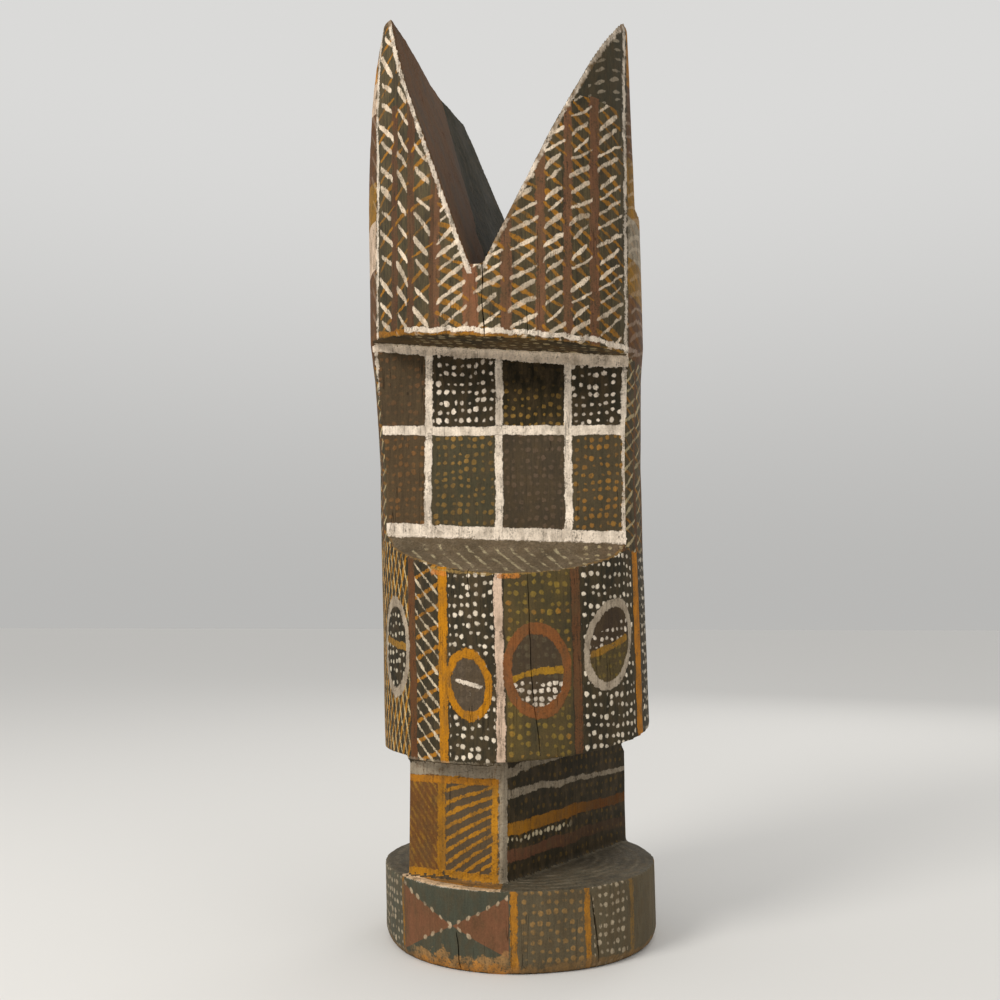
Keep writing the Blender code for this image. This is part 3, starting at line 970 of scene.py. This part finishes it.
def waist_front_paint():
    """A hatched red panel and an arched one in yellow borders, under a grey-white band."""
    p = Paint("waist_front", (92, 72, 48), (74, 64, 46))
    yellow = (170, 116, 28)
    x = p.sway.scaled(1.2, p.x)
    h = p.drift.scaled(1.6, p.h)
    p.coat(p.x.under(-47), (106, 70, 36), 1.0, 0.1, patchy=1.4)
    slope = (h + x * 1.5) / 8.4
    patches = p.patches(12, 4.9, 3.6, -1.2, detail=2)
    p.coat(p.lines(slope, 4.8, 0.9) * p.x.under(-50) * patches, DULL_OCHRE, 0.75, 0.2)
    p.coat(p.x.over(-46), (84, 70, 52), 1.0, 0.05, patchy=1.4)
    arch = h - (x + 46) * 0.34 - (x + 46) * (150 - h) * 0.0078
    p.coat(p.lines(arch / 10.4, 9.0, 1.7) * p.x.over(-44), yellow, 0.9, 0.35)
    p.coat(p.band(x + 47.5, 3.6), (156, 106, 26), 1.1, 0.3)
    p.coat(p.band(x + 1.0, 2.6), yellow, 1.1, 0.35)
    p.coat(p.between(h, 147.5, 153.5), (172, 112, 28), 0.95, 0.3)
    p.coat(p.edge(75 - h), yellow, 0.95, 0.3)
    p.coat(p.edge(h - 153.8), GREY_CLAY, 1.1, 0.35)
    p.coat(p.edge(x - 2.6), GREY_CLAY, 0.95, 0.35)
    return p.finish()


def waist_right_paint():
    """Level bands from front to back on a ground darkened with painted shade, the bands fading and
    darkening with more painted shade towards the back.
    """
    # painted shade: this face's ground is made darker than the waist's other faces
    p = Paint("waist_right", (38, 33, 20), (46, 38, 20))
    along = (p.x - 7.0) * 0.477 + (p.y + 101) * 0.879
    h = p.drift.scaled(3.0, p.h) + p.sway * 1.2
    # painted shade with fading paint: the bands thin, dim and darken towards the back
    fade_and_shade = along.held(1 / 150)
    p.coat(p.dots(along, h, 9, 9, 1.6, 2) * h.under(165), (110, 84, 34), 0.5, 0.1)
    p.coat(p.band(h - along.scaled(0.085, 157.5), 3.8), GREY_CLAY, 0.9, 0.35)
    p.coat(p.band(h - along.scaled(-0.012, 140.5), 3.8 - fade_and_shade * 1.6), GREY_CLAY, 0.85, 0.35)
    # painted shade: the yellow band turns dark brown towards the back
    tone = p.blend(fade_and_shade, p.flat((158, 106, 22)), p.flat((92, 56, 22)))
    p.coat(p.band(h - 110.5, 5.6 - fade_and_shade), tone, 1.1, 0.35)
    row = p.dots(along, h - 94.6, 6.2, 11.5, 2.0, 5) * h.within(95, 104)
    p.coat(row * p.edge(98 - along, soft=20), (206, 190, 156), 0.95, 0.35)
    p.coat(p.band(h - 87.5, 5.0) * (1 - fade_and_shade * 0.8), (108, 70, 48), 1.1, 0.15)
    p.coat(p.edge(2.8 - along), GREY_CLAY, 1.0, 0.35)
    return p.finish()


def waist_side_paint(name):
    """The waist where nothing but a wash and a few level bands is laid."""
    p = Paint(name, CHARCOAL, BROWN)
    h = p.drift.scaled(3, p.h)
    p.coat(p.band(h - 141, 4), GREY_CLAY, 0.6, 0.3)
    p.coat(p.band(h - 111, 5), DULL_OCHRE, 0.8, 0.3)
    p.coat(p.band(h - 89, 4), RED, 0.8, 0.15)
    return p.finish()


def foot_paint():
    """A dotted cross between red and slate triangles, then dotted fields parted by yellow bands."""
    p = Paint("foot", SLATE, (86, 80, 62))
    arc = p.arc()
    u = p.sway.scaled(1.4, arc)
    h = p.drift.scaled(1.2, p.h)
    down = h - ((u + 43) * -0.485 + 36.5)
    climb = h - ((u + 43) * 0.545 + 36.5)
    cross = u.within(-96, 4)
    beside = (down * climb).under(0) * cross
    p.coat(beside, (116, 78, 54), 1.15, 0.1, patchy=1.4)
    p.coat((1 - beside) * cross, (72, 73, 60), 1.0, 0.05, patchy=1.2)
    step = (u / 8.2).fraction() - 0.5
    chance = p.chance((u / 8.2).floor(), 3.0, 1.0)
    for line, kept in ((down, u.under(-22)), (climb, u.over(-74))):
        off = line + (chance[1] - 0.5) * 2.4
        far = (step * 8.2).apart(off)
        size = chance[0].scaled(1.1, 1.35)
        p.coat(p.edge(size - far, 0.9, 0.6) * cross * kept, (186, 164, 134), 0.85, 0.4)
    p.coat(p.between(u, 8, 190), (92, 80, 60), 0.75, 0.0, patchy=1.6)
    ochre_dots = p.dots(u, h, 6.8, 7.6, 1.7, 7, jitter=0.4) * u.within(13, 66)
    p.coat(ochre_dots, (148, 114, 66), 0.8, 0.25)
    pale = u.within(76, 114).most(u.within(-190, -99)).most(u.within(205, 330))
    p.coat(p.dots(u, h, 6.6, 7.8, 1.7, 8, jitter=0.4) * pale, (180, 164, 138), 0.8, 0.3)
    yellow = (164, 110, 34)
    bands = [(5.2, 11.2, yellow, 1.1), (68, 73.4, yellow, 1.05), (118, 124, DULL_OCHRE, 0.5)]
    bands += [(-99.3, -97, yellow, 0.8), (190, 200, DULL_OCHRE, 0.8), (-206, -196, RED, 0.9)]
    bands += [(335, 345, DULL_OCHRE, 0.8)]
    for low, high, pigment, cover in bands:
        p.coat(p.between(u, low, high), pigment, cover, 0.3)
    front = p.edge(44 - (u + 38).size(), soft=16)
    # Wear along the ground: size and shift of its lumps, height, where, pigment, then how it is laid
    for size, shift, rise, foot, where, pigment, *laid in (
        (20, 6.6, 26, -5, 1.0, (126, 98, 62), 0.8, -0.2),
        (13, 9.1, 40, -7, front, (168, 126, 76), 0.8, -0.2, 5.0),
        (9, 2.7, 36, -11, front, (184, 122, 48), 0.7, -0.1, 5.0),
    ):
        worn = p.noise(size, detail=3, shift=shift).scaled(rise, foot) - p.h
        p.coat(p.edge(worn, 2.5, 1.5) * where, pigment, *laid)
    p.coat(p.edge(p.h - 66.2) * u.within(-94, 4), CLAY, 0.5, 0.3)
    return p.finish()


def foot_top_paint():
    """Grey-brown, swept round with a brush, with a white line in front of the waist."""
    p = Paint("foot_top", (62, 57, 45), (92, 84, 68))
    far = (p.x - 10).apart(p.y)
    sweep = p.noise(30, detail=3, shift=1.1) * 14 + far
    broken = p.patches(24, 7.3, 3.4, -1.2, detail=3)
    p.coat(p.lines(sweep / 9.0, 9.0, 1.9, 4.0) * broken, (124, 113, 93), 0.8, 0.2)
    front = p.x.within(-84, 6) * p.y.under(-80)
    p.coat(p.edge(far - 106) * front, (146, 100, 40), 0.7, 0.2)
    p.coat(p.edge(far - 118) * front, (222, 190, 152), 0.8, 0.35)
    p.coat(p.band(far - 115.5, 1.4) * front, (172, 116, 40), 0.8, 0.2)
    return p.finish()


def end_grain(name):
    """A sawn end of the log, darkened, with its rings just showing."""
    p = Paint(name, (70, 56, 38), (96, 78, 52), streaks=0.1)
    far = (p.x - 20).apart(p.y)
    ringing = p.sway.scaled(2.0, far) / 3.4
    p.coat(p.lines(ringing, 3.4, 0.8, 1.0), (52, 42, 28), 0.7, -0.1)
    return p.finish()


# Setting


def add_floor():
    bpy.ops.mesh.primitive_plane_add(size=30)
    floor = bpy.context.object
    floor.name = "floor"
    material = bpy.data.materials.new("floor")
    material.use_nodes = True
    shader = material.node_tree.nodes["Principled BSDF"]
    shader.inputs["Base Color"].default_value = (0.72, 0.71, 0.69, 1)
    shader.inputs["Roughness"].default_value = 0.9
    floor.data.materials.append(material)


def add_light(name, energy, size, place, aim, colour):
    light = bpy.data.lights.new(name, "AREA")
    light.energy = energy
    light.shape = "DISK"
    light.size = size
    light.color = colour
    lamp = bpy.data.objects.new(name, light)
    lamp.location = place
    lamp.rotation_euler = (Vector(aim) - Vector(place)).to_track_quat("-Z", "Y").to_euler()
    scene.collection.objects.link(lamp)


def add_camera():
    """The photograph's view: a little to the right of the front and low, tipped slightly up."""
    azimuth = math.radians(7.5)
    tip = math.radians(3.825)
    aim = Vector((0.0097, -0.0003, 0.2939))  # on the log's axis
    distance = 0.98627
    aside = 0.01978  # to the left, so the figure stands right of the middle
    right = Vector((math.cos(azimuth), math.sin(azimuth), 0))
    toward = Vector((math.sin(azimuth), -math.cos(azimuth), 0))
    ahead = -toward * math.cos(tip) + Vector((0, 0, math.sin(tip)))
    upward = right.cross(ahead)
    data = bpy.data.cameras.new("camera")
    data.sensor_width = 36
    data.lens = 37.69
    data.shift_y = 0.04
    camera = bpy.data.objects.new("camera", data)
    place = aim + toward * distance - right * aside
    turn = Matrix((right, upward, -ahead)).transposed()
    camera.matrix_world = Matrix.Translation(place) @ turn.to_4x4()
    scene.collection.objects.link(camera)
    scene.camera = camera


def add_world():
    world = bpy.data.worlds.new("studio")
    world.use_nodes = True
    nodes, links = world.node_tree.nodes, world.node_tree.links
    background = nodes["Background"]
    split = nodes.new("ShaderNodeSeparateXYZ")
    links.new(nodes.new("ShaderNodeTexCoord").outputs["Generated"], split.inputs[0])
    sky = nodes.new("ShaderNodeValToRGB")
    sky.color_ramp.interpolation = "EASE"
    low, high = sky.color_ramp.elements
    low.position, low.color = 0.0, (0.655, 0.65, 0.635, 1)
    high.position, high.color = 0.45, (0.95, 0.945, 0.93, 1)
    links.new(split.outputs["Z"], sky.inputs[0])
    links.new(sky.outputs[0], background.inputs["Color"])
    background.inputs["Strength"].default_value = 0.74
    scene.world = world
    scene.view_settings.view_transform = "Standard"


add_camera()
add_world()
add_floor()
add_light("key", 34, 0.9, (-1.25, -1.55, 1.75), (0, 0, 0.42), (1.0, 0.97, 0.92))
add_light("fill", 5, 1.6, (1.9, -1.5, 0.9), (0, 0, 0.4), (1.0, 0.98, 0.95))
add_light("back", 8, 1.2, (0.8, 2.0, 1.5), (0, 0, 0.45), (1.0, 0.98, 0.95))

solid = bpy.data.objects[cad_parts["carved_figure"].name]
figure = welded_copy(solid, "painted_figure")
wear_down(figure)
open_cracks(figure)

paints = [
    crown_paint(),
    notch_paint("notch_red", (100, 67, 38), 1.0),
    notch_paint("notch_dark", (38, 37, 18), 1.0),
    end_grain("prong_top"),
    underside_paint(),
    panel_paint(),
    shoulder_paint(),
    post_paint(),
    drum_paint(),
    notch_paint("ceiling", BROWN, 0.5),
    waist_front_paint(),
    waist_right_paint(),
    waist_side_paint("waist_back"),
    waist_side_paint("waist_side"),
    foot_paint(),
    foot_top_paint(),
    end_grain("foot_bottom"),
]
figure.data.materials.clear()
for material in paints:
    figure.data.materials.append(material)
assign_zones(figure, [material.name for material in paints])

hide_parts("carved_figure")
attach(figure, "root")
